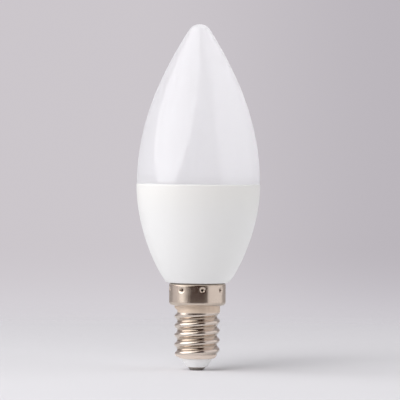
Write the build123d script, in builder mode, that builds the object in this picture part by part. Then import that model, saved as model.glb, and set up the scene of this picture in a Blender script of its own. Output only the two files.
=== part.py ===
from build123d import *
import os
from math import acos, cos, degrees, radians, sin

# Candle bulb with a 14 mm screw cap.
# Millimetres and degrees. The origin is the middle of the centre contact's lower face, +Z runs to the tip.

# Whole bulb
overall_length = 103.5
bulb_diameter = 37.0
mouth_height = 55.7
foot_height = 26.2
fit = 0.1

# Cover: a candle form that ends in a ball
tip_radius = 3.8
tip_slope = 32.0
cover_seam_pull = 19.0
cover_tip_pull = 14.0
cover_arcs = 6
seam_step = 0.1
plug_depth = 2.4

# Housing: a bell that narrows to a foot just wider than the cap's skirt
foot_overhang = 0.85
foot_slope = 36.0
foot_radius = 0.8
bell_mouth_pull = 11.0
bell_foot_pull = 7.7
bell_arcs = 4
mouth_wall = 1.3
rim_radius = 0.25

# Screw shell: thin drawn sheet with a skirt, a neck, a threaded barrel and a lip turned in at the bottom
sheet = 0.3
skirt_ledge = 1.67
skirt_height = 6.5
skirt_radius = 0.95
skirt_gap = 0.25
neck_step = 0.03
neck_height = 1.6
shoulder_radius = 1.3
lip_width = 1.15

# Rolled thread, right-handed
thread_crest_diameter = 13.6
thread_depth = 0.85
thread_pitch = 2.822
thread_crest_flat = 0.85
thread_root_flat = 0.85
thread_rise = 1.74
thread_angle = 210.0
thread_sink = 0.15
run_in_radius = 3.0

# Crimp dents that lock the skirt to the housing
dents = 8
dent_angle = 280.5
dent_drop = 1.75
dent_radius = 1.1
dent_depth = 0.55

# Insulator and centre contact
insulator_foot_diameter = 6.1
insulator_foot_edge = 0.4
insulator_height = 2.3
insulator_collar = 0.4
flange_thickness = 2.0
contact_diameter = 5.1
contact_flat_diameter = 3.2
contact_height = 1.2
contact_edge = 0.25
contact_flare = 2.0
shank_diameter = 1.8

# Radii and heights of the cap
crest_radius = thread_crest_diameter / 2
root_radius = crest_radius - thread_depth
thread_flank = (thread_pitch - thread_crest_flat - thread_root_flat) / 2
neck_outer = crest_radius + neck_step
skirt_outer = neck_outer + skirt_ledge
skirt_inner = skirt_outer - sheet
skirt_round = skirt_radius - sheet
skirt_top = foot_height - skirt_gap
skirt_floor = skirt_top - skirt_height
neck_bottom = skirt_floor - neck_height
barrel_bottom = contact_height + insulator_height
barrel_bore = root_radius - sheet
bore_round = shoulder_radius - sheet
lip_radius = barrel_bore - lip_width
lip_top = barrel_bottom + sheet
dent_height = skirt_top - dent_drop
dent_centre = skirt_outer + dent_radius - dent_depth

# Radii and heights of what seats in the cap and in the housing's mouth
flange_radius = barrel_bore - fit
flange_top = lip_top + flange_thickness
shank_radius = shank_diameter / 2
core_radius = barrel_bore - fit
core_bottom = flange_top + fit
spigot_radius = skirt_inner - fit
spigot_bottom = skirt_floor + sheet + fit
foot_edge = skirt_outer + foot_overhang
bulb_radius = bulb_diameter / 2
mouth_radius = bulb_radius - mouth_wall
cover_radius = bulb_radius - seam_step
plug_radius = mouth_radius - fit
plug_bottom = mouth_height - plug_depth
recess_floor = plug_bottom - fit


def arc_chain(guide, arcs):
    """Draw a chain of tangent arcs along a guide curve, from its start to its end."""
    tangent = guide % 0
    for step in range(arcs):
        arc = TangentArc(guide @ (step / arcs), guide @ ((step + 1) / arcs), tangent=tangent)
        tangent = arc % 1


def dent_spheres(radius):
    """Cut the ring of spheres that the crimping punches leave, at the given radius."""
    with Locations((0, 0, dent_height)):
        with PolarLocations(dent_centre, dents, start_angle=dent_angle):
            Sphere(radius, mode=Mode.SUBTRACT)


os.makedirs("parts", exist_ok=True)

# Opal cover: the flank runs from the seam to the ball of the tip, and a plug seats in the housing's mouth
tip_angle = radians(tip_slope)
flank_top = (tip_radius * cos(tip_angle), overall_length - tip_radius * (1 - sin(tip_angle)))
tip_handle = (
    flank_top[0] + cover_tip_pull * sin(tip_angle),
    flank_top[1] - cover_tip_pull * cos(tip_angle),
)
with BuildPart() as opal_cover:
    with BuildSketch(Plane.XZ):
        with BuildLine():
            flank = Bezier(
                (cover_radius, mouth_height),
                (cover_radius, mouth_height + cover_seam_pull),
                tip_handle,
                flank_top,
                mode=Mode.PRIVATE,
            )
            arc_chain(flank, cover_arcs)
            RadiusArc(flank_top, (0, overall_length), -tip_radius)
            Polyline(
                (0, overall_length),
                (0, plug_bottom),
                (plug_radius, plug_bottom),
                (plug_radius, mouth_height),
                (cover_radius, mouth_height),
            )
        make_face()
    revolve(axis=Axis.Z)

# Housing: the bell, a recess for the cover's plug, and a stepped spigot that fills the cap
bell_angle = radians(foot_slope)
foot_handle = (
    foot_edge + bell_foot_pull * sin(bell_angle),
    foot_height + bell_foot_pull * cos(bell_angle),
)
with BuildPart() as housing:
    with BuildSketch(Plane.XZ):
        with BuildLine():
            bell = Bezier(
                (foot_edge, foot_height),
                foot_handle,
                (bulb_radius, mouth_height - bell_mouth_pull),
                (bulb_radius, mouth_height - rim_radius),
                mode=Mode.PRIVATE,
            )
            arc_chain(bell, bell_arcs)
            RadiusArc(bell @ 1, (bulb_radius - rim_radius, mouth_height), -rim_radius)
            Polyline(
                (bulb_radius - rim_radius, mouth_height),
                (mouth_radius, mouth_height),
                (mouth_radius, recess_floor),
                (0, recess_floor),
                (0, core_bottom),
                (core_radius, core_bottom),
                (core_radius, spigot_bottom),
                (spigot_radius - skirt_round, spigot_bottom),
                (spigot_radius, spigot_bottom + skirt_round),
                (spigot_radius, foot_height),
                (foot_edge, foot_height),
            )
        make_face()
        fillet(vertices().sort_by_distance((foot_edge, foot_height))[0], foot_radius)
    revolve(axis=Axis.Z)
    dent_spheres(dent_radius + sheet + fit)

# Space inside the screw shell, with the bumps that the dents push into it
with BuildPart() as shell_space:
    with BuildSketch(Plane.XZ):
        with BuildLine():
            Polyline(
                (0, lip_top),
                (barrel_bore - bore_round, lip_top),
                (barrel_bore, lip_top + bore_round),
                (barrel_bore, neck_bottom + sheet),
                (neck_outer - sheet, neck_bottom + thread_flank + sheet),
                (neck_outer - sheet, skirt_floor + sheet),
                (skirt_inner - skirt_round, skirt_floor + sheet),
                (skirt_inner, skirt_floor + sheet + skirt_round),
                (skirt_inner, skirt_top),
                (0, skirt_top),
                close=True,
            )
        make_face()
    revolve(axis=Axis.Z)
    dent_spheres(dent_radius + sheet)

# Path of the thread: down its helix from the neck, then along an arc that sinks into the barrel
thread_start = barrel_bottom + thread_rise
thread_end = neck_bottom + thread_crest_flat / 2 + thread_flank
helix = Location((0, 0, thread_start), (0, 0, thread_angle)) * Helix(
    thread_pitch, thread_end - thread_start, root_radius
)
helix_foot = helix @ 0
outward = Vector(helix_foot.X, helix_foot.Y, 0)
run_in_end = root_radius - thread_depth - thread_sink
run_in_offset = root_radius - run_in_radius
run_in_turn = acos(
    (run_in_end**2 - run_in_offset**2 - run_in_radius**2) / (2 * run_in_offset * run_in_radius)
)
with BuildLine(Plane(helix_foot, x_dir=outward, z_dir=(helix % 0).cross(outward))) as run_in:
    JernArc((0, 0), (0, 1), run_in_radius, degrees(run_in_turn))
thread_path = Wire([run_in.line.edge(), helix.edge()])
ridge_start = thread_path @ 0
ridge_plane = Plane(
    ridge_start,
    x_dir=Vector(ridge_start.X, ridge_start.Y, 0),
    z_dir=thread_path % 0,
)
ridge_top = thread_crest_flat / 2
ridge_base = ridge_top + thread_flank * (1 + thread_sink / thread_depth)

# Screw shell: a solid cap with its thread, then hollowed, dented and opened at the lip
with BuildPart() as screw_shell:
    with BuildSketch(Plane.XZ):
        with BuildLine():
            FilletPolyline(
                (0, barrel_bottom),
                (root_radius, barrel_bottom),
                (root_radius, neck_bottom),
                (neck_outer, neck_bottom + thread_flank),
                (neck_outer, skirt_floor),
                (skirt_outer, skirt_floor),
                (skirt_outer, skirt_top),
                (0, skirt_top),
                radius=(0, shoulder_radius, 0, 0, 0, skirt_radius, 0, 0),
                close=True,
            )
        make_face()
    revolve(axis=Axis.Z)
    with BuildSketch(ridge_plane) as ridge:
        with BuildLine():
            Polyline(
                (-thread_sink, -ridge_base),
                (thread_depth, -ridge_top),
                (thread_depth, ridge_top),
                (-thread_sink, ridge_base),
                close=True,
            )
        make_face()
    sweep(sections=ridge.sketch, path=thread_path, is_frenet=True)
    add(shell_space.part, mode=Mode.SUBTRACT)
    dent_spheres(dent_radius)
    with Locations((0, 0, barrel_bottom)):
        Hole(lip_radius)

# Cap insulator: a collar and a cone below the lip, with a flange that rests on the lip inside the barrel
insulator_foot = (insulator_foot_diameter / 2, contact_height)
with BuildPart() as cap_insulator:
    with BuildSketch(Plane.XZ):
        with BuildLine():
            Polyline(
                (shank_radius + fit, contact_height),
                insulator_foot,
                (lip_radius - fit, barrel_bottom - insulator_collar),
                (lip_radius - fit, lip_top),
                (flange_radius - bore_round, lip_top),
                (flange_radius, lip_top + bore_round),
                (flange_radius, flange_top),
                (shank_radius + fit, flange_top),
                close=True,
            )
        make_face()
        fillet(vertices().sort_by_distance(insulator_foot)[0], insulator_foot_edge)
    revolve(axis=Axis.Z)

# Centre contact: a shallow rivet head under the insulator, with its shank in the bore
with BuildPart() as centre_contact:
    with BuildSketch(Plane.XZ):
        with BuildLine():
            flat = Line((0, 0), (contact_flat_diameter / 2, 0))
            flare = RadiusArc(
                flat @ 1,
                (contact_diameter / 2, contact_height - contact_edge),
                -contact_flare,
            )
            Polyline(
                flare @ 1,
                (contact_diameter / 2, contact_height),
                (shank_radius, contact_height),
                (shank_radius, flange_top),
                (0, flange_top),
                flat @ 0,
            )
        make_face()
    revolve(axis=Axis.Z)

pieces = {
    "opal_cover": opal_cover,
    "housing": housing,
    "screw_shell": screw_shell,
    "cap_insulator": cap_insulator,
    "centre_contact": centre_contact,
}
for name, piece in pieces.items():
    piece.part.label = name
    export_step(piece.part, f"parts/{name}.step")
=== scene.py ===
"""Candle bulb: fine meshes and finishes for the opal cover, the housing, the screw cap and its contact."""

from __future__ import annotations

import logging
import math
from abc import ABC, abstractmethod
from dataclasses import dataclass
from enum import Enum
from typing import Any, ClassVar, Union

import bmesh
import bpy
from bmesh.types import BMesh
from mathutils import Matrix, Quaternion, Vector
from mathutils.geometry import interpolate_bezier

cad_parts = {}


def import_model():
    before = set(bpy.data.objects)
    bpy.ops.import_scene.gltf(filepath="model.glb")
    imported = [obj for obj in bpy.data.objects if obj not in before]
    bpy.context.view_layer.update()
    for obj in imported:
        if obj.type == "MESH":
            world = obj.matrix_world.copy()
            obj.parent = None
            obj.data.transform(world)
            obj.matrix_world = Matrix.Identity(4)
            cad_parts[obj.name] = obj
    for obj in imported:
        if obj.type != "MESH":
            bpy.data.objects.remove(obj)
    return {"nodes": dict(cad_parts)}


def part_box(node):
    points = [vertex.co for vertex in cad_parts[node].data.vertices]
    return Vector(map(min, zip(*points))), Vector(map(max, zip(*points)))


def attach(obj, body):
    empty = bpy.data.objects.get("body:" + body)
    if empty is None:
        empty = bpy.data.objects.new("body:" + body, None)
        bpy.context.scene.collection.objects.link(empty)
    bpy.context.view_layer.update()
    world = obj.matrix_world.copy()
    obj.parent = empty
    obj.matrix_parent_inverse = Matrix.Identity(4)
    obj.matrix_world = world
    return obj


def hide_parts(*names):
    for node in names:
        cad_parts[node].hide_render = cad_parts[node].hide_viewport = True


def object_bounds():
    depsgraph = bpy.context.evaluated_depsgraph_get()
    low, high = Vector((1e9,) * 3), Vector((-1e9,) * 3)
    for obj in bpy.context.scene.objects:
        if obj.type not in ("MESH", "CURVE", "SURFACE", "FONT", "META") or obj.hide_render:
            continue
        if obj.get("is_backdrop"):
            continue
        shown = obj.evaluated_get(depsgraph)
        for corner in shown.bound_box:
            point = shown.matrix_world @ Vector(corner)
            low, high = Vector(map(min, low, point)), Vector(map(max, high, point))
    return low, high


MM = 0.001
WELD = 0.5e-6
BODY = "root"
NOISE_MIDDLE = 0.5
STUDIO_MIDDLE = 50.0 * MM

log = logging.getLogger("candle_bulb")

Pair = tuple[float, float]
Colour = tuple[float, float, float]
Value = Union["Wire", float]


class Piece(str, Enum):
    """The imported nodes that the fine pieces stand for."""

    COVER = "opal_cover"
    HOUSING = "housing"
    SHELL = "screw_shell"
    INSULATOR = "cap_insulator"
    CONTACT = "centre_contact"


class Slot(str, Enum):
    """The record's material slots."""

    OPAL = "opal_plastic"
    WHITE = "white_plastic"
    NICKEL = "nickel_plate"
    INSULATOR = "insulator_white"
    CONTACT = "contact_metal"


class Wire:
    """A node's output that takes part in Python expressions."""

    def __init__(self, graph: Graph, socket: bpy.types.NodeSocket) -> None:
        """Keep the socket and the graph that new Math nodes go to."""
        self.graph = graph
        self.socket = socket

    def __add__(self, other: Value) -> Wire:
        """Add a value."""
        return self.graph.math("ADD", self, other)

    def __radd__(self, other: Value) -> Wire:
        """Add to a value."""
        return self.graph.math("ADD", other, self)

    def __sub__(self, other: Value) -> Wire:
        """Take a value away."""
        return self.graph.math("SUBTRACT", self, other)

    def __rsub__(self, other: Value) -> Wire:
        """Take this away from a value."""
        return self.graph.math("SUBTRACT", other, self)

    def __mul__(self, other: Value) -> Wire:
        """Multiply by a value."""
        return self.graph.math("MULTIPLY", self, other)

    def __rmul__(self, other: Value) -> Wire:
        """Multiply a value by this."""
        return self.graph.math("MULTIPLY", other, self)

    def __pow__(self, other: Value) -> Wire:
        """Raise to a power."""
        return self.graph.math("POWER", self, other)

    def sine(self) -> Wire:
        """Take the sine of this value in radians."""
        return self.graph.math("SINE", self)

    def step(self, low: float, high: float) -> Wire:
        """Rise smoothly from 0 to 1.

        Args:
            low: The value at which the rise starts.
            high: The value at which it ends; below low, the step falls instead.

        Returns:
            A value from 0 to 1.
        """
        settings = {"interpolation_type": "SMOOTHSTEP"}
        inputs = {"Value": self, "From Min": min(low, high), "From Max": max(low, high)}
        rise = self.graph.wire("ShaderNodeMapRange", settings, inputs)
        return rise if low < high else 1.0 - rise


class Graph:
    """Adds nodes to the tree of one material or of the world."""

    MIX_SOCKETS: ClassVar[tuple[int, int, int]] = (0, 6, 7)
    MIX_RESULT: ClassVar[int] = 2

    def __init__(self, owner: bpy.types.Material | bpy.types.World) -> None:
        """Start on an emptied tree.

        Args:
            owner: The material or the world.
        """
        owner.use_nodes = True
        self.tree = owner.node_tree
        self.tree.nodes.clear()

    def node(
        self, kind: str, settings: dict[str, Any] | None = None, inputs: dict[Any, Any] | None = None
    ) -> bpy.types.Node:
        """Add one node.

        Args:
            kind: The node's type.
            settings: Its properties, which are set first.
            inputs: Values or wires for its sockets, by name or index.

        Returns:
            The new node.
        """
        made = self.tree.nodes.new(kind)
        for name, value in (settings or {}).items():
            setattr(made, name, value)
        for key, value in (inputs or {}).items():
            socket = made.inputs[key]
            if isinstance(value, Wire):
                self.tree.links.new(value.socket, socket)
            else:
                socket.default_value = value
        return made

    def wire(
        self,
        kind: str,
        settings: dict[str, Any] | None = None,
        inputs: dict[Any, Any] | None = None,
        output: Any = 0,
    ) -> Wire:
        """Add one node and take the output of a name or index."""
        return Wire(self, self.node(kind, settings, inputs).outputs[output])

    def math(self, operation: str, *values: Value) -> Wire:
        """Add a Math node on one or two values."""
        return self.wire("ShaderNodeMath", {"operation": operation}, dict(enumerate(values)))

    def mix(self, first: Any, second: Any, factor: Value) -> Wire:
        """Mix two colours.

        Args:
            first: The colour at a factor of 0, a tuple or a wire.
            second: The colour at a factor of 1.
            factor: How far to go to the second.

        Returns:
            The mixed colour.
        """
        colours = [c if isinstance(c, Wire) else (*c, 1.0) for c in (first, second)]
        inputs = dict(zip(self.MIX_SOCKETS, (factor, *colours)))
        return self.wire("ShaderNodeMix", {"data_type": "RGBA"}, inputs, output=self.MIX_RESULT)

    def place(self) -> Wire:
        """Give the object's own coordinates, in metres."""
        return self.wire("ShaderNodeTexCoord", output="Object")

    def parts(self, vector: Wire) -> tuple[Wire, Wire, Wire]:
        """Split a vector into its three numbers."""
        node = self.node("ShaderNodeSeparateXYZ", inputs={0: vector})
        return tuple(Wire(self, output) for output in node.outputs)

    def around_axis(self, place: Wire) -> tuple[Wire, Wire]:
        """Give a place's distance from the axis, and its height."""
        across, along, height = self.parts(place)
        return (across * across + along * along) ** 0.5, height

    def noise(self, vector: Wire, grain: float, detail: float) -> Wire:
        """Add a noise with features of about the grain's size, in metres, and so many finer layers."""
        inputs = {"Vector": vector, "Scale": 1.0 / grain, "Detail": detail}
        return self.wire("ShaderNodeTexNoise", {"noise_dimensions": "3D"}, inputs, output="Fac")

    def stretched(self, vector: Wire, scale: Colour) -> Wire:
        """Stretch coordinates by a factor along each axis."""
        return self.wire("ShaderNodeMapping", {"vector_type": "POINT"}, {"Vector": vector, "Scale": scale})

    def bump(self, height: Wire, depth: float, strength: float = 1.0) -> Wire:
        """Bend the normal by a height, of which 1 stands for the depth in metres."""
        inputs = {"Strength": strength, "Distance": depth, "Height": height}
        return self.wire("ShaderNodeBump", inputs=inputs, output="Normal")


def add_object(name: str, data: bpy.types.ID) -> bpy.types.Object:
    """Add an object to the scene.

    Args:
        name: Its name.
        data: Its mesh, light or camera.

    Returns:
        The object.
    """
    made = bpy.data.objects.new(name, data)
    bpy.context.scene.collection.objects.link(made)
    return made


def mesh_data(name: str, modelled: BMesh) -> bpy.types.Mesh:
    """Turn a modelled skin into the data of an object.

    Args:
        name: The data's name.
        modelled: The skin, which is freed.

    Returns:
        The data.
    """
    data = bpy.data.meshes.new(name)
    modelled.to_mesh(data)
    modelled.free()
    return data


@dataclass(frozen=True)
class Finish(ABC):
    """A finish of one piece: constants on the shader, and what varies over the surface."""

    name: str
    colour: Colour

    def material(self) -> bpy.types.Material:
        """Make the material.

        Returns:
            A material with the finish's nodes.
        """
        made = bpy.data.materials.new(self.name)
        graph = Graph(made)
        shader = graph.node("ShaderNodeBsdfPrincipled", inputs=self.constants())
        for socket, wire in self.surface(graph).items():
            graph.tree.links.new(wire.socket, shader.inputs[socket])
        surface = self.body(graph, Wire(graph, shader.outputs[0]))
        graph.node("ShaderNodeOutputMaterial", inputs={"Surface": surface})
        return made

    def shaded(self, share: float) -> Colour:
        """Give the finish's colour, darkened to a share of itself."""
        return tuple(share * channel for channel in self.colour)

    def body(self, graph: Graph, skin: Wire) -> Wire:
        """Give the shader of skin and body together, which is the skin alone in a dense material."""
        return skin

    @abstractmethod
    def constants(self) -> dict[str, Any]:
        """Give the shader sockets that are the same all over."""

    @abstractmethod
    def surface(self, graph: Graph) -> dict[str, Wire]:
        """Give the shader sockets that vary, with their wires."""


@dataclass(frozen=True)
class OpalFinish(Finish):
    """Opal moulding: the skin is semi-gloss, and light goes through and spreads inside."""

    glow: Colour
    glow_foot: float
    index: float = 2.8
    foot_edge: float = 0.1 * MM
    sheerness: Pair = (0.7, 0.75)
    sheer_rise: float = 30.0 * MM
    # Share by which the colour darkens higher up the cover: painted shade.
    upper_painted_shade: float = 0.04
    gloss: float = 0.035
    gloss_spread: float = 0.04
    cloud_grain: float = 9.0 * MM
    cloud_depth: float = 0.03
    peel_grain: float = 1.6 * MM
    peel_depth: float = 0.0012 * MM

    def constants(self) -> dict[str, Any]:
        """Give the skin, whose share of the look is small, so that its index is high."""
        return {"IOR": self.index}

    def body(self, graph: Graph, skin: Wire) -> Wire:
        """Let light through above the opaque foot, and more of it higher up, where the wall is thinner.

        Args:
            graph: The material's nodes.
            skin: The shader of the skin.

        Returns:
            The shader of skin and body together.
        """
        height = graph.parts(graph.place())[2]
        low, high = self.sheerness
        above = height.step(self.glow_foot - self.foot_edge, self.glow_foot)
        sheer = above * (low + (high - low) * self._rise(height))
        opal = graph.wire("ShaderNodeBsdfTranslucent", inputs={"Color": (*self.glow, 1.0)})
        return graph.wire("ShaderNodeMixShader", inputs={0: sheer, 1: skin, 2: opal})

    def surface(self, graph: Graph) -> dict[str, Wire]:
        """Vary the cloudiness, the gloss and the moulded skin, and darken the colour higher up the cover
        as painted shade.

        Args:
            graph: The material's nodes.

        Returns:
            Wires, by socket.
        """
        place = graph.place()
        cloud = graph.noise(place, self.cloud_grain, detail=3.0)
        peel = graph.noise(place, self.peel_grain, detail=1.0)
        rise = self._rise(graph.parts(place)[2])
        clouded = graph.mix(self.colour, self.shaded(1.0 - self.cloud_depth), cloud)
        return {
            # Painted shade: the base colour darkens from the seam upwards, evening out the light that
            # falls from above.
            "Base Color": graph.mix(clouded, self.shaded(1.0 - self.upper_painted_shade), rise),
            "Roughness": self.gloss + self.gloss_spread * (cloud - NOISE_MIDDLE),
            "Normal": graph.bump(peel, self.peel_depth),
        }

    def _rise(self, height: Wire) -> Wire:
        """Give how far a height has come from the thick foot to the thin wall, from 0 to 1."""
        return height.step(self.glow_foot, self.glow_foot + self.sheer_rise)


@dataclass(frozen=True)
class SatinFinish(Finish):
    """Satin white moulding with a fine spark-eroded grain, a warmer mouth, and painted shade on the spigot
    where the gap above the cap shows it.
    """

    warm: Colour
    warm_start: float
    warm_end: float
    gap_painted_shade: Colour
    gap_shade_radius: float
    gap_shade_top: float
    gap_shade_edge: float = 0.15 * MM
    index: float = 1.46
    cloud_grain: float = 14.0 * MM
    cloud_shade: float = 0.97
    cloud_share: float = 0.5
    grain: float = 0.22 * MM
    grain_depth: float = 0.006 * MM
    gloss: float = 0.48
    gloss_spread: float = 0.1

    def constants(self) -> dict[str, Any]:
        """Give the plastic's index."""
        return {"IOR": self.index}

    def surface(self, graph: Graph) -> dict[str, Wire]:
        """Vary the tint, the gloss and the grain, and paint the spigot dark inside the cap's gap as
        painted shade.

        Args:
            graph: The material's nodes.

        Returns:
            Wires, by socket.
        """
        place = graph.place()
        radius, height = graph.around_axis(place)
        cloud = graph.noise(place, self.cloud_grain, detail=3.0)
        grain = graph.noise(place, self.grain, detail=2.0)
        tint = graph.mix(self.colour, self.warm, height.step(self.warm_start, self.warm_end))
        clouded = graph.mix(tint, self.shaded(self.cloud_shade), self.cloud_share * cloud)
        # Painted shade: the spigot is coloured near black inside the cap's top edge, so the gap above the
        # skirt reads as shadow.
        inside = radius.step(self.gap_shade_radius + self.gap_shade_edge, self.gap_shade_radius)
        below = height.step(self.gap_shade_top + self.gap_shade_edge, self.gap_shade_top)
        return {
            "Base Color": graph.mix(clouded, self.gap_painted_shade, inside * below),
            "Roughness": self.gloss + self.gloss_spread * (grain - NOISE_MIDDLE),
            "Normal": graph.bump(grain, self.grain_depth),
        }


@dataclass(frozen=True)
class NickelFinish(Finish):
    """Bright nickel over brass sheet: streaks, smudges, dull ends, grooves darkened by dirt and painted
    shade, a lip shoulder paled by painted light, and pierced dents with painted shade in their cores.
    """

    crest_colour: Colour
    groove_dirt_and_shade: Colour
    neck_colour: Colour
    foot_dull_plate_and_painted_light: Colour
    pit_painted_shade: Colour
    groove_radius: float
    crest_radius: float
    dull_neck: Pair
    dull_foot: Pair
    neck_top: float
    skirt_floor: float
    pit_radius: float
    pit_edge: float = 0.25 * MM
    pit_gloss: float = 0.3
    index: float = 1.5
    gloss: float = 0.22
    rolled_gloss: float = 0.17
    dull_gloss: float = 0.5
    dull_share: float = 0.7
    groove_dirt_and_shade_share: Pair = (0.4, 0.5)
    streak_scale: Colour = (1.0, 1.0, 0.08)
    streak_grain: float = 0.35 * MM
    streak_gloss: float = 0.08
    streak_height: float = 0.25
    smudge_grain: float = 2.4 * MM
    smudge_gloss: float = 0.1
    smudge_middle: float = 0.4
    ripple_grain: float = 3.5 * MM
    ripple_height: float = 6.0
    relief_depth: float = 0.004 * MM

    def constants(self) -> dict[str, Any]:
        """Give the index of the dull ends, which are less metal than the rest."""
        return {"IOR": self.index}

    def surface(self, graph: Graph) -> dict[str, Wire]:
        """Vary the tarnish, the share of bare metal, the gloss and the drawn marks, and paint shade in the
        grooves and dent cores and light on the lip's shoulder.

        Args:
            graph: The material's nodes.

        Returns:
            Wires, by socket.
        """
        place = graph.place()
        radius, height = graph.around_axis(place)
        streaks = graph.noise(graph.stretched(place, self.streak_scale), self.streak_grain, detail=2.0)
        smudge = graph.noise(place, self.smudge_grain, detail=3.0)
        ripple = graph.noise(place, self.ripple_grain, detail=1.0)
        on_skirt = height.step(self.skirt_floor, self.skirt_floor + self.pit_edge)
        below_skirt = height.step(self.neck_top, self.neck_top - self.pit_edge)
        groove = radius.step(self.crest_radius, self.groove_radius)
        crest = radius.step(self.groove_radius, self.crest_radius)
        pit = on_skirt * radius.step(self.pit_radius, self.pit_radius - self.pit_edge)
        neck = height.step(*self.dull_neck) * below_skirt * crest
        foot = height.step(*self.dull_foot)
        dull = neck + foot
        # Darker brown roots: a fixed share of painted shade, plus more where the smudge noise adds dirt.
        clean, smudged = self.groove_dirt_and_shade_share
        rolled = graph.mix(self.crest_colour, self.groove_dirt_and_shade, groove * (clean + smudged * smudge))
        metal = graph.mix(self.colour, rolled, below_skirt)
        # The lip's shoulder faces down and gets little light; its paler dull colour is partly painted
        # light.
        plate = graph.mix(graph.mix(metal, self.neck_colour, neck), self.foot_dull_plate_and_painted_light, foot)
        gloss = self.gloss + (self.rolled_gloss - self.gloss) * below_skirt
        marks = self.smudge_gloss * (smudge - self.smudge_middle)
        marks += self.streak_gloss * (streaks - NOISE_MIDDLE)
        relief = self.streak_height * streaks + self.ripple_height * ripple
        return {
            # Painted shade: the cores of the pierced dents are coloured near black.
            "Base Color": graph.mix(plate, self.pit_painted_shade, pit),
            "Metallic": 1.0 - self.dull_share * dull,
            "Roughness": gloss + marks + (self.dull_gloss - gloss) * dull + self.pit_gloss * pit,
            "Normal": graph.bump(relief, self.relief_depth),
        }


@dataclass(frozen=True)
class GlazedFinish(Finish):
    """Smooth off-white insulator with a soft gloss and faint specks."""

    index: float = 1.5
    scatter_share: float = 0.15
    scatter_depth: float = 0.6 * MM
    gloss: float = 0.34
    gloss_spread: float = 0.1
    speck_grain: float = 0.5 * MM
    speck_limits: Pair = (0.62, 0.75)
    speck_shade: float = 0.9
    skin_grain: float = 0.8 * MM
    skin_depth: float = 0.003 * MM

    def constants(self) -> dict[str, Any]:
        """Give the insulator's body."""
        return {
            "IOR": self.index,
            "Subsurface Weight": self.scatter_share,
            "Subsurface Radius": (1.0, 1.0, 1.0),
            "Subsurface Scale": self.scatter_depth,
        }

    def surface(self, graph: Graph) -> dict[str, Wire]:
        """Vary the specks, the gloss and the skin.

        Args:
            graph: The material's nodes.

        Returns:
            Wires, by socket.
        """
        place = graph.place()
        speck = graph.noise(place, self.speck_grain, detail=3.0).step(*self.speck_limits)
        skin = graph.noise(place, self.skin_grain, detail=2.0)
        return {
            "Base Color": graph.mix(self.colour, self.shaded(self.speck_shade), speck),
            "Roughness": self.gloss + self.gloss_spread * (skin - NOISE_MIDDLE),
            "Normal": graph.bump(skin, self.skin_depth),
        }


@dataclass(frozen=True)
class RivetFinish(Finish):
    """Dull plated rivet with turned rings and handling marks."""

    ring_pitch: float = 0.11 * MM
    ring_depth: float = 0.003 * MM
    ring_strength: float = 0.6
    tarnish_grain: float = 0.9 * MM
    tarnish_shade: float = 0.55
    tarnish_gloss: float = 0.3
    tarnish_middle: float = 0.4
    gloss: float = 0.3

    def constants(self) -> dict[str, Any]:
        """Give the metal."""
        return {"Metallic": 1.0}

    def surface(self, graph: Graph) -> dict[str, Wire]:
        """Vary the tarnish, the gloss and the rings.

        Args:
            graph: The material's nodes.

        Returns:
            Wires, by socket.
        """
        place = graph.place()
        radius, _ = graph.around_axis(place)
        rings = (radius * (math.tau / self.ring_pitch)).sine()
        tarnish = graph.noise(place, self.tarnish_grain, detail=4.0)
        return {
            "Base Color": graph.mix(self.colour, self.shaded(self.tarnish_shade), tarnish),
            "Roughness": self.gloss + self.tarnish_gloss * (tarnish - self.tarnish_middle),
            "Normal": graph.bump(0.5 + 0.5 * rings, self.ring_depth, self.ring_strength),
        }


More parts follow.
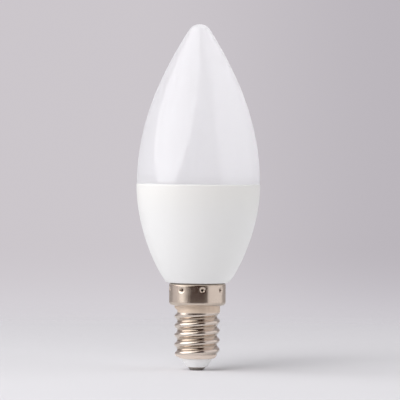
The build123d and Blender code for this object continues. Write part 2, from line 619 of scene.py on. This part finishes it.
class Section:
    """A half section in the plane of X and Z, drawn point by point and spun about Z."""

    def __init__(self, radius: float, height: float) -> None:
        """Start the section at one point.

        Args:
            radius: Where it starts, from the axis.
            height: Where it starts, along the axis.
        """
        self.mesh: BMesh = bmesh.new()
        self.start = bmesh.ops.create_vert(self.mesh, co=(radius, 0.0, height))["vert"][0]
        self.end = self.start

    def _go(self, point: Vector) -> None:
        """Extrude the end of the section.

        Args:
            point: Where the new end lies.
        """
        made = bmesh.ops.extrude_vert_indiv(self.mesh, verts=[self.end])
        self.end = made["verts"][0]
        self.end.co = point

    def line(self, radius: float, height: float, steps: int = 1) -> Section:
        """Draw a straight stretch.

        Args:
            radius: Where it ends, from the axis.
            height: Where it ends, along the axis.
            steps: How many edges it has.

        Returns:
            The section.
        """
        first = self.end.co.copy()
        last = Vector((radius, 0.0, height))
        for step in range(steps):
            self._go(first.lerp(last, (step + 1) / steps))
        return self

    def arc(self, centre: Pair, turn: float, steps: int) -> Section:
        """Draw an arc.

        Args:
            centre: Its centre, as radius and height.
            turn: Its angle in degrees, positive from up to outwards.
            steps: How many edges it has.

        Returns:
            The section.
        """
        made = bmesh.ops.spin(
            self.mesh,
            geom=[self.end],
            cent=(centre[0], 0.0, centre[1]),
            axis=(0.0, 1.0, 0.0),
            angle=math.radians(turn),
            steps=steps,
        )
        self.end = made["geom_last"][0]
        return self

    def curve(self, first: Pair, second: Pair, last: Pair, steps: int) -> Section:
        """Draw a smooth curve.

        Args:
            first: The handle of its start, as radius and height.
            second: The handle of its end.
            last: Its end.
            steps: How many edges it has.

        Returns:
            The section.
        """
        handles = [Vector((radius, 0.0, height)) for radius, height in (first, second, last)]
        for point in interpolate_bezier(self.end.co.copy(), *handles, steps + 1)[1:]:
            self._go(point)
        return self

    def close(self) -> Section:
        """Join the end to the start."""
        self.mesh.edges.new((self.end, self.start))
        return self

    def spun(self, columns: int) -> BMesh:
        """Spin the section about the axis.

        Args:
            columns: How many columns of faces the skin has.

        Returns:
            A closed skin whose faces point outwards.
        """
        section = self.mesh.verts[:] + self.mesh.edges[:]
        bmesh.ops.spin(
            self.mesh,
            geom=section,
            cent=(0.0, 0.0, 0.0),
            axis=(0.0, 0.0, 1.0),
            angle=math.tau,
            steps=columns,
            use_merge=True,
        )
        bmesh.ops.remove_doubles(self.mesh, verts=self.mesh.verts[:], dist=WELD)
        bmesh.ops.recalc_face_normals(self.mesh, faces=self.mesh.faces[:])
        return self.mesh


@dataclass
class Extent:
    """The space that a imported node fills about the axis."""

    radius: float
    bottom: float
    top: float

    @classmethod
    def of(cls, piece: Piece) -> Extent:
        """Read a node's space from the frame."""
        low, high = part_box(piece.value)
        return cls(radius=high.x, bottom=low.z, top=high.z)


@dataclass
class SubAssembly(ABC):
    """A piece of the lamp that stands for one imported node."""

    extent: Extent
    piece: ClassVar[Piece]
    slot: ClassVar[Slot]
    label: ClassVar[str]
    columns: ClassVar[int]
    crease: ClassVar[float] = 30.0

    @abstractmethod
    def mesh(self) -> BMesh:
        """Model the piece."""

    @abstractmethod
    def finish(self) -> Finish:
        """Choose the finish."""

    def build(self) -> bpy.types.Object:
        """Make the piece, dress it and set it in the frame.

        Returns:
            The finished object.
        """
        modelled = self.mesh()
        for face in modelled.faces:
            face.smooth = True
        data = mesh_data(self.label, modelled)
        data.set_sharp_from_angle(angle=math.radians(self.crease))
        data.materials.append(self.finish().material())
        made = add_object(self.label, data)
        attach(made, BODY)
        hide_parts(self.piece.value)
        return made


def smooth_step(low: float, high: float, value: float) -> float:
    """Rise smoothly from 0 at low to 1 at high, which may lie below low."""
    share = min(max((value - low) / (high - low), 0.0), 1.0)
    return share * share * (3.0 - 2.0 * share)


@dataclass
class CrimpDents:
    """The ring of punched dents that locks the skirt to the housing."""

    skirt_radius: float
    height: float
    count: int = 8
    first_angle: float = 280.5
    dish_radius: float = 1.05 * MM
    dish_depth: float = 0.42 * MM
    core_radius: float = 0.44 * MM
    core_depth: float = 0.5 * MM
    core_floor: float = 0.55

    def depth(self, angle: float, height: float) -> float:
        """Give how deep a place on the skirt is pressed in.

        Args:
            angle: The place's angle about the axis, in radians.
            height: Its height.

        Returns:
            The depth, 0 outside the dents.
        """
        pitch = math.tau / self.count
        offset = (angle - math.radians(self.first_angle) + pitch / 2) % pitch - pitch / 2
        reach = math.hypot(offset * self.skirt_radius, height - self.height)
        if reach >= self.dish_radius:
            return 0.0
        dish = self.dish_depth * math.cos(math.pi / 2 * reach / self.dish_radius) ** 2
        core = self.core_depth * smooth_step(self.core_radius, self.core_floor * self.core_radius, reach)
        return dish + core

    def press(self, mesh: BMesh, inner: float) -> None:
        """Press the dents into a skin.

        Args:
            mesh: The skin to press.
            inner: Points nearer to the axis than this stay.
        """
        for vert in mesh.verts:
            radius = math.hypot(vert.co.x, vert.co.y)
            if radius > inner:
                depth = self.depth(math.atan2(vert.co.y, vert.co.x), vert.co.z)
                vert.co.xy *= (radius - depth) / radius


@dataclass
class OpalCover(SubAssembly):
    """The candle-shaped opal moulding, with the plug that seats in the housing's mouth."""

    mouth: float = 0.0
    tip_radius: float = 3.8 * MM
    tip_slope: float = 32.0
    seam_pull: float = 19.0 * MM
    tip_pull: float = 14.0 * MM
    seam_edge: float = 0.12 * MM
    plug_radius: float = 17.1 * MM
    piece = Piece.COVER
    slot = Slot.OPAL
    label = "cover_moulding"
    columns = 224

    def mesh(self) -> BMesh:
        """Draw the section from the tip down to the plug and spin it.

        Returns:
            The cover's skin.
        """
        slope = math.radians(self.tip_slope)
        top = self.extent.top
        radius = self.extent.radius
        tip_handle = (
            self.tip_radius * math.cos(slope) + self.tip_pull * math.sin(slope),
            top - self.tip_radius * (1.0 - math.sin(slope)) - self.tip_pull * math.cos(slope),
        )
        seam = self.mouth + self.seam_edge
        section = Section(0.0, top)
        section.arc((0.0, top - self.tip_radius), 90.0 - self.tip_slope, steps=14)
        section.curve(tip_handle, (radius, self.mouth + self.seam_pull), (radius, seam), steps=96)
        section.arc((radius - self.seam_edge, seam), 90.0, steps=4)
        section.line(self.plug_radius, self.mouth)
        section.line(self.plug_radius, self.extent.bottom)
        section.line(0.0, self.extent.bottom)
        return section.spun(self.columns)

    def finish(self) -> Finish:
        """Choose the opal."""
        return OpalFinish(
            "opal_moulding",
            colour=(0.94, 0.94, 0.96),
            glow=(0.985, 0.985, 0.995),
            glow_foot=self.mouth,
        )


@dataclass
class Housing(SubAssembly):
    """The white bell, with the recess for the cover and the spigot inside the cap."""

    foot: float = 26.2 * MM
    foot_radius: float = 9.35 * MM
    foot_slope: float = 36.0
    foot_pull: float = 7.7 * MM
    foot_round: float = 0.8 * MM
    mouth_pull: float = 11.0 * MM
    mouth_radius: float = 17.2 * MM
    recess: float = 2.5 * MM
    rim: float = 0.25 * MM
    core_radius: float = 5.55 * MM
    spigot_radius: float = 8.1 * MM
    spigot_bottom: float = 19.85 * MM
    spigot_bevel: float = 0.65 * MM
    pocket_depth: float = 0.95 * MM
    pocket_low: float = 22.9 * MM
    pocket_high: float = 25.4 * MM
    piece = Piece.HOUSING
    slot = Slot.WHITE
    label = "housing_moulding"
    columns = 224

    def mesh(self) -> BMesh:
        """Draw the section from the recess over the bell to the spigot and spin it.

        Returns:
            The housing's skin.
        """
        mouth = self.extent.top
        radius = self.extent.radius
        slope = math.radians(self.foot_slope)
        round_turn = 90.0 - self.foot_slope
        round_centre = (
            self.foot_radius - self.foot_round / math.tan(math.radians(round_turn) / 2 + slope),
            self.foot + self.foot_round,
        )
        bell_end = (
            round_centre[0] + self.foot_round * math.cos(slope),
            round_centre[1] - self.foot_round * math.sin(slope),
        )
        foot_handle = (
            bell_end[0] + self.foot_pull * math.sin(slope),
            bell_end[1] + self.foot_pull * math.cos(slope),
        )
        section = Section(0.0, mouth - self.recess)
        section.line(self.mouth_radius, mouth - self.recess)
        section.line(self.mouth_radius, mouth)
        section.line(radius - self.rim, mouth)
        section.arc((radius - self.rim, mouth - self.rim), 90.0, steps=6)
        section.curve((radius, mouth - self.mouth_pull), foot_handle, bell_end, steps=72)
        section.arc(round_centre, round_turn, steps=8)
        section.line(self.spigot_radius, self.foot)
        section.line(self.spigot_radius, self.pocket_high, steps=2)
        section.line(self.spigot_radius - self.pocket_depth, self.pocket_high)
        section.line(self.spigot_radius - self.pocket_depth, self.pocket_low)
        section.line(self.spigot_radius, self.pocket_low)
        section.line(self.spigot_radius, self.spigot_bottom + self.spigot_bevel)
        section.line(self.spigot_radius - self.spigot_bevel, self.spigot_bottom)
        section.line(self.core_radius, self.spigot_bottom)
        section.line(self.core_radius, self.extent.bottom)
        section.line(0.0, self.extent.bottom)
        return section.spun(self.columns)

    def finish(self) -> Finish:
        """Choose the satin white."""
        return SatinFinish(
            "satin_moulding",
            colour=(0.79, 0.79, 0.79),
            warm=(0.79, 0.782, 0.763),
            warm_start=44.0 * MM,
            warm_end=55.0 * MM,
            # Painted shade for the gap between the housing's foot and the cap.
            gap_painted_shade=(0.09, 0.08, 0.07),
            gap_shade_radius=self.spigot_radius,
            gap_shade_top=self.foot,
        )


@dataclass
class ScrewShell(SubAssembly):
    """The plated sheet cap: turned-in lip, rolled thread, neck and crimped skirt."""

    sheet: float = 0.3 * MM
    lip_radius: float = 4.5 * MM
    shoulder: float = 1.3 * MM
    root_radius: float = 5.95 * MM
    thread_depth: float = 0.85 * MM
    pitch: float = 2.822 * MM
    crest_height: float = 16.1 * MM
    crest_angle: float = 180.0
    flatness: float = 0.06
    run_in: Pair = (-4.2, -3.92)
    run_out: Pair = (0.49, 0.68)
    groove_share: float = 0.4
    dull_neck: Pair = (17.1 * MM, 17.6 * MM)
    dull_foot: Pair = (5.0 * MM, 4.4 * MM)
    skirt_height: float = 6.5 * MM
    skirt_round: float = 0.95 * MM
    rim: float = 0.26 * MM
    rim_start: float = 1.5
    rim_end: Pair = (0.55, 0.45)
    corner: float = 0.2 * MM
    corner_reach: float = 1.5
    dent_drop: float = 1.75 * MM
    dent_band: float = 1.2 * MM
    pit_drop: float = 0.5 * MM
    piece = Piece.SHELL
    slot = Slot.NICKEL
    label = "cap_shell"
    columns = 320
    crease = 50.0

    def mesh(self) -> BMesh:
        """Spin the blank, roll its thread and press its dents.

        Returns:
            The shell's skin.
        """
        blank = self._blank()
        self._roll(blank)
        dents = CrimpDents(self.extent.radius, self.extent.top - self.dent_drop)
        dents.press(blank, self.extent.radius - 2 * self.sheet)
        bmesh.ops.recalc_face_normals(blank, faces=blank.faces[:])
        return blank

    def _blank(self) -> BMesh:
        """Draw the section of the sheet before the thread is rolled, and spin it.

        Returns:
            The blank's skin, outside and inside.
        """
        bottom, top, outer = self.extent.bottom, self.extent.top, self.extent.radius
        floor = top - self.skirt_height
        inner = outer - self.sheet
        lip_end = self.root_radius - self.shoulder
        bore = self.root_radius - self.sheet
        neck_bore = self.root_radius + self.thread_depth - self.sheet
        neck_top = floor - self.corner
        dent_low = top - self.dent_drop - self.dent_band
        dent_high = top - self.dent_drop + self.dent_band
        section = Section(self.lip_radius, bottom)
        section.line(lip_end, bottom)
        section.arc((lip_end, bottom + self.shoulder), -90.0, steps=12)
        section.line(self.root_radius, neck_top, steps=132)
        section.arc((self.root_radius + self.corner, neck_top), 90.0, steps=4)
        section.line(outer - self.skirt_round, floor)
        section.arc((outer - self.skirt_round, floor + self.skirt_round), -90.0, steps=10)
        section.line(outer, dent_low, steps=8)
        section.line(outer, dent_high, steps=22)
        section.curve(
            (outer, top - self.rim_start * self.rim),
            (outer - self.rim_end[0] * self.rim, top - self.rim_end[1] * self.rim),
            (outer - self.rim, top),
            steps=10,
        )
        section.line(inner, top)
        section.line(inner, dent_high)
        section.line(inner, dent_low, steps=12)
        section.line(inner, floor + self.skirt_round)
        section.line(outer - self.skirt_round, floor + self.sheet)
        section.line(neck_bore, floor + self.sheet)
        section.line(neck_bore, neck_top)
        section.line(bore, neck_top - self.thread_depth)
        section.line(bore, bottom + self.shoulder)
        section.line(lip_end, bottom + self.sheet)
        section.line(self.lip_radius, bottom + self.sheet)
        return section.close().spun(self.columns)

    def _roll(self, blank: BMesh) -> None:
        """Lift the outer skin to the thread, with its run-in and run-out.

        Args:
            blank: The skin to lift.
        """
        floor = self.extent.top - self.skirt_height
        shoulder_top = self.extent.bottom + self.shoulder
        outer_skin = self.root_radius - self.sheet / 2
        corner_end = self.root_radius + self.corner_reach * self.corner
        for vert in blank.verts:
            radius = math.hypot(vert.co.x, vert.co.y)
            height = vert.co.z
            on_barrel = outer_skin < radius < corner_end
            on_shoulder = height < shoulder_top and self._is_outside(radius, height)
            if height < floor + WELD and (on_barrel or on_shoulder):
                rise = self._rise(math.atan2(vert.co.y, vert.co.x), height)
                vert.co.xy *= (radius + rise) / radius

    def _is_outside(self, radius: float, height: float) -> bool:
        """Tell whether a point of the shoulder lies on its outer skin."""
        centre = Vector((self.root_radius - self.shoulder, self.extent.bottom + self.shoulder))
        return (Vector((radius, height)) - centre).length > self.shoulder - self.sheet / 2

    def _rise(self, angle: float, height: float) -> float:
        """Give how far the thread stands above its root.

        Args:
            angle: The place's angle about the axis, in radians.
            height: Its height.

        Returns:
            The rise, from 0 at a root to the thread's depth at a crest.
        """
        turns = (angle - math.radians(self.crest_angle)) / math.tau
        along = (height - self.crest_height) / self.pitch - turns
        wave = math.cos(math.tau * along) - self.flatness * math.cos(3.0 * math.tau * along)
        ridge = 0.5 + 0.5 * wave / (1.0 - self.flatness)
        if height < (self.extent.bottom + self.crest_height) / 2:
            return self.thread_depth * ridge * smooth_step(*self.run_in, round(along) + turns)
        groove = (1.0 - ridge) * smooth_step(*reversed(self.run_out), math.floor(along) + 0.5 + turns)
        return self.thread_depth * (1.0 - groove)

    def finish(self) -> Finish:
        """Choose the nickel plate."""
        floor = self.extent.top - self.skirt_height
        return NickelFinish(
            "nickel_plate",
            colour=(0.68, 0.585, 0.49),
            crest_colour=(0.73, 0.645, 0.56),
            # Darker roots stand for dirt and for painted shade in the grooves.
            groove_dirt_and_shade=(0.4, 0.305, 0.22),
            neck_colour=(0.68, 0.55, 0.44),
            # Dull plate on the shoulder, made paler as painted light.
            foot_dull_plate_and_painted_light=(0.82, 0.705, 0.615),
            # Painted shade in the dent cores.
            pit_painted_shade=(0.03, 0.025, 0.02),
            groove_radius=self.root_radius,
            crest_radius=self.root_radius + self.groove_share * self.thread_depth,
            dull_neck=self.dull_neck,
            dull_foot=self.dull_foot,
            neck_top=floor,
            skirt_floor=floor + self.skirt_round,
            pit_radius=self.extent.radius - self.pit_drop,
        )


@dataclass
class CapInsulator(SubAssembly):
    """The white cone under the cap, with its flange inside the barrel."""

    foot_drop: float = 0.25 * MM
    foot_radius: float = 3.05 * MM
    bore: float = 1.0 * MM
    lip_radius: float = 4.4 * MM
    lip_bottom: float = 3.5 * MM
    lip_top: float = 3.8 * MM
    collar: float = 0.4 * MM
    collar_round: float = 0.3 * MM
    flange_bevel: float = 1.0 * MM
    edge: float = 0.4 * MM
    piece = Piece.INSULATOR
    slot = Slot.INSULATOR
    label = "insulator_cone"
    columns = 160

    def mesh(self) -> BMesh:
        """Draw the section and spin it.

        Returns:
            The insulator's skin.
        """
        bottom, top, radius = self.extent.bottom - self.foot_drop, self.extent.top, self.extent.radius
        corner = Vector((self.lip_radius, self.lip_bottom - self.collar))
        cone = corner - Vector((self.foot_radius, bottom))
        rise = math.degrees(math.atan2(cone.y, cone.x))
        inset = self.edge * math.tan(math.radians(rise) / 2)
        cone_end = corner - self.collar_round * cone.normalized()
        section = Section(self.bore, bottom)
        section.line(self.foot_radius - inset, bottom, steps=3)
        section.arc((self.foot_radius - inset, bottom + self.edge), -rise, steps=8)
        section.line(*cone_end, steps=12)
        section.curve(tuple(corner), tuple(corner), (corner.x, corner.y + self.collar_round), steps=6)
        section.line(self.lip_radius, self.lip_top)
        section.line(radius - self.flange_bevel, self.lip_top)
        section.line(radius, self.lip_top + self.flange_bevel)
        section.line(radius, top)
        section.line(self.bore, top)
        return section.close().spun(self.columns)

    def finish(self) -> Finish:
        """Choose the off-white."""
        return GlazedFinish("insulator_glaze", colour=(0.79, 0.79, 0.8))


@dataclass
class CentreContact(SubAssembly):
    """The rivet head under the insulator, with its shank."""

    flat_radius: float = 1.6 * MM
    head_height: float = 0.95 * MM
    head_edge: float = 0.15 * MM
    flare_start: Pair = (0.4 * MM, 0.12 * MM)
    flare_end: Pair = (0.15 * MM, 0.35 * MM)
    shank_radius: float = 0.9 * MM
    piece = Piece.CONTACT
    slot = Slot.CONTACT
    label = "contact_rivet"
    columns = 128

    def mesh(self) -> BMesh:
        """Draw the section and spin it.

        Returns:
            The contact's skin.
        """
        bottom, top, radius = self.extent.bottom, self.extent.top, self.extent.radius
        head = bottom + self.head_height
        brim = head - self.head_edge
        section = Section(0.0, bottom)
        section.line(self.flat_radius, bottom, steps=6)
        section.curve(
            (self.flat_radius + self.flare_start[0], bottom + self.flare_start[1]),
            (radius - self.flare_end[0], brim - self.flare_end[1]),
            (radius, brim),
            steps=12,
        )
        section.line(radius, head, steps=2)
        section.line(self.shank_radius, head)
        section.line(self.shank_radius, top)
        section.line(0.0, top)
        return section.spun(self.columns)

    def finish(self) -> Finish:
        """Choose the dull plate."""
        return RivetFinish("rivet_plate", colour=(0.5, 0.455, 0.41))


def facing(azimuth: float, elevation: float, distance: float) -> Matrix:
    """Stand something around the object, with its back turned to it.

    Args:
        azimuth: Its direction in degrees, 0 at the front and positive to the right.
        elevation: Its height above the horizon, in degrees.
        distance: How far it is from the middle of the object.

    Returns:
        Its matrix: local Z points away from the object and local X to the right.
    """
    turn, lift = math.radians(azimuth), math.radians(elevation)
    flat = math.cos(lift)
    away = Vector((math.sin(turn) * flat, -math.cos(turn) * flat, math.sin(lift)))
    spot = Vector((0.0, 0.0, STUDIO_MIDDLE)) + away * distance
    return Matrix.Translation(spot) @ away.to_track_quat("Z", "Y").to_matrix().to_4x4()


@dataclass
class SoftLight:
    """A soft studio light that faces the object, with an even glow."""

    name: str
    azimuth: float
    elevation: float
    distance: float
    width: float
    height: float
    radiance: float
    is_round: bool = False
    is_mirrored: bool = True

    def build(self) -> None:
        """Make the light, which the camera itself does not see."""
        data = bpy.data.lights.new(self.name, "AREA")
        data.shape = "ELLIPSE" if self.is_round else "RECTANGLE"
        data.size = self.width
        data.size_y = self.height
        area = self.width * self.height * (math.pi / 4 if self.is_round else 1.0)
        data.energy = self.radiance * math.pi * area
        made = add_object(self.name, data)
        made.matrix_world = facing(self.azimuth, self.elevation, self.distance)
        made.visible_camera = False
        made.visible_glossy = self.is_mirrored


@dataclass
class ShadeCard:
    """An upright studio card that shades the reflections from one side to the other."""

    name: str
    azimuth: float
    half_angle: float
    left: Colour
    right: Colour
    distance: float = 1.5
    foot: float = -1.5
    height: float = 6.0

    def build(self) -> None:
        """Make the card, which the camera itself does not see, and mark it as stage."""
        half = self.distance * math.tan(math.radians(self.half_angle))
        sheet = bmesh.new()
        bmesh.ops.create_grid(sheet, x_segments=1, y_segments=1, size=0.5)
        bmesh.ops.scale(sheet, vec=(2.0 * half, self.height, 1.0), verts=sheet.verts[:])
        bmesh.ops.translate(sheet, vec=(0.0, self.foot + self.height / 2, 0.0), verts=sheet.verts[:])
        data = mesh_data(self.name, sheet)
        data.materials.append(self._material(half))
        made = add_object(self.name, data)
        made.matrix_world = facing(self.azimuth, 0.0, self.distance)
        made.visible_camera = False
        made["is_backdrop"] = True

    def _material(self, half: float) -> bpy.types.Material:
        """Make the card's glow, from its left edge to its right edge.

        Args:
            half: Half the card's width.

        Returns:
            The material.
        """
        made = bpy.data.materials.new(self.name)
        graph = Graph(made)
        across = graph.parts(graph.place())[0]
        tone = graph.mix(self.left, self.right, across.step(-half, half))
        glow = graph.wire("ShaderNodeEmission", inputs={"Color": tone, "Strength": 1.0})
        graph.node("ShaderNodeOutputMaterial", inputs={"Surface": glow})
        return made


@dataclass
class Studio:
    """The pale floor, the soft lights, the shade cards and the pale surroundings."""

    floor_radius: float = 0.47
    floor_sides: int = 96
    floor_fade: Pair = (0.02, 0.45)
    floor_front: Pair = (-0.1, -0.16)
    floor_colour: Colour = (0.685, 0.68, 0.705)
    bounce_colour: Colour = (0.86, 0.865, 0.88)
    low_colour: Colour = (0.77, 0.76, 0.80)
    low_limits: Pair = (-0.03, -0.075)
    left_colour: Colour = (0.602, 0.568, 0.6)
    right_colour: Colour = (0.497, 0.467, 0.503)
    wall_limits: Pair = (-0.02, 0.06)
    left_ambient: Colour = (0.44, 0.44, 0.44)
    right_ambient: Colour = (1.25, 1.25, 1.25)
    side_limits: Pair = (-1.0, 1.0)
    high_ambient: Colour = (0.3, 0.3, 0.3)
    high_limits: Pair = (0.2, 0.9)
    front_tone: Colour = (0.034, 0.009, 0.003)
    side_tone: Colour = (0.72, 0.7, 0.72)
    wing_tone: Colour = (0.38, 0.36, 0.37)

    def build(self) -> None:
        """Make everything that is not part of the object."""
        self._floor()
        self._world()
        for light in self._lights():
            light.build()
        for card in self._cards():
            card.build()

    def _lights(self) -> list[SoftLight]:
        """Give the round light at the left, a smaller one that casts the shadow, and the reflector."""
        return [
            SoftLight(
                "key_light", azimuth=-64.0, elevation=41.5, distance=0.9,
                width=1.6, height=1.74, radiance=1.5, is_round=True,
            ),
            SoftLight(
                "shadow_light", azimuth=-30.0, elevation=42.0, distance=0.9,
                width=0.46, height=0.46, radiance=5.4, is_round=True, is_mirrored=False,
            ),
            SoftLight(
                "side_reflector", azimuth=82.0, elevation=20.0, distance=0.8,
                width=1.35, height=0.9, radiance=0.36,
            ),
        ]

    def _cards(self) -> list[ShadeCard]:
        """Give the dark front, its soft left edge and the grey wings behind the object."""
        front, side, wing = self.front_tone, self.side_tone, self.wing_tone
        return [
            ShadeCard("front_card", azimuth=9.0, half_angle=34.0, left=front, right=front),
            ShadeCard("front_edge", azimuth=-49.0, half_angle=24.0, left=side, right=front),
            ShadeCard("left_wing", azimuth=-140.0, half_angle=20.0, left=wing, right=wing),
            ShadeCard("right_wing", azimuth=142.0, half_angle=18.0, left=wing, right=wing),
        ]

    def _floor(self) -> None:
        """Make the pale floor, which fades into the surroundings and ends early in reflections."""
        disc = bmesh.new()
        bmesh.ops.create_circle(disc, cap_ends=True, segments=self.floor_sides, radius=self.floor_radius)
        data = mesh_data("floor", disc)
        made_of = bpy.data.materials.new("floor")
        graph = Graph(made_of)
        place = graph.place()
        reach, _ = graph.around_axis(place)
        along = graph.parts(place)[1]
        camera, mirrored = self._rays(graph, "Is Camera Ray", "Is Glossy Ray")
        colour = graph.mix(self.bounce_colour, self.floor_colour, camera + mirrored)
        matte = graph.wire("ShaderNodeBsdfDiffuse", inputs={"Color": colour})
        clear = graph.wire("ShaderNodeBsdfTransparent")
        ended = mirrored * along.step(*self.floor_front)
        fade = graph.math("MAXIMUM", reach.step(*self.floor_fade), ended)
        surface = graph.wire("ShaderNodeMixShader", inputs={0: fade, 1: matte, 2: clear})
        graph.node("ShaderNodeOutputMaterial", inputs={"Surface": surface})
        data.materials.append(made_of)
        add_object("floor", data)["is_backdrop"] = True

    def _world(self) -> None:
        """Make the pale surroundings, lighter below the horizon."""
        world = bpy.data.worlds.new("studio")
        bpy.context.scene.world = world
        graph = Graph(world)
        camera, glossy, transmitted = self._rays(
            graph, "Is Camera Ray", "Is Glossy Ray", "Is Transmission Ray"
        )
        seen = graph.math("MINIMUM", camera + glossy + transmitted, 1.0)
        across, _, height = graph.parts(graph.wire("ShaderNodeTexCoord", output="Generated"))
        wall = graph.mix(self.left_colour, self.right_colour, across.step(*self.wall_limits))
        backdrop = graph.mix(wall, self.low_colour, height.step(*self.low_limits))
        ambient = graph.mix(self.left_ambient, self.right_ambient, across.step(*self.side_limits))
        dome = graph.mix(ambient, self.high_ambient, height.step(*self.high_limits))
        light = graph.mix(dome, backdrop, seen)
        surface = graph.wire("ShaderNodeBackground", inputs={"Color": light, "Strength": 1.0})
        graph.node("ShaderNodeOutputWorld", inputs={"Surface": surface})

    @staticmethod
    def _rays(graph: Graph, *kinds: str) -> list[Wire]:
        """Give a wire for each kind of ray, 1 for rays of that kind and 0 for others."""
        rays = graph.node("ShaderNodeLightPath")
        return [Wire(graph, rays.outputs[kind]) for kind in kinds]


@dataclass
class PhotoCamera:
    """The camera at the photograph's viewing angle, for a square picture."""

    distance: float = 1.1
    height: float = 71.5 * MM
    aim_across: float = 0.54 * MM
    aim_height: float = 50.93 * MM
    view_width: float = 119.69 * MM
    roll: float = 0.5
    sensor: float = 36.0
    clip_start: float = 0.05
    clip_end: float = 20.0

    def build(self) -> None:
        """Make the camera and use it."""
        data = bpy.data.cameras.new("photo_camera")
        data.sensor_width = self.sensor
        spot = Vector((self.aim_across, -self.distance, self.height))
        look = Vector((self.aim_across, 0.0, self.aim_height)) - spot
        data.lens = self.sensor * look.length / self.view_width
        data.clip_start = self.clip_start
        data.clip_end = self.clip_end
        made = add_object("photo_camera", data)
        made.location = spot
        made.rotation_mode = "QUATERNION"
        level = look.to_track_quat("-Z", "Y")
        made.rotation_quaternion = level @ Quaternion((0.0, 0.0, 1.0), math.radians(self.roll))
        bpy.context.scene.camera = made


def main() -> None:
    """Load the frame, build the lamp's pieces and set the studio around them."""
    logging.basicConfig(level=logging.INFO, format="%(name)s: %(message)s")
    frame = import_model()
    cad_box = tuple(corner.copy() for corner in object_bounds())
    log.info("frame has %d nodes", len(frame["nodes"]))
    lamp: list[SubAssembly] = [
        OpalCover(Extent.of(Piece.COVER), mouth=Extent.of(Piece.HOUSING).top),
        Housing(Extent.of(Piece.HOUSING)),
        ScrewShell(Extent.of(Piece.SHELL)),
        CapInsulator(Extent.of(Piece.INSULATOR)),
        CentreContact(Extent.of(Piece.CONTACT)),
    ]
    for part in lamp:
        made = part.build()
        log.info("%s has %d faces", made.name, len(made.data.polygons))
    Studio().build()
    PhotoCamera().build()
    bpy.context.scene.view_settings.view_transform = "Standard"


if __name__ == "__main__":
    main()
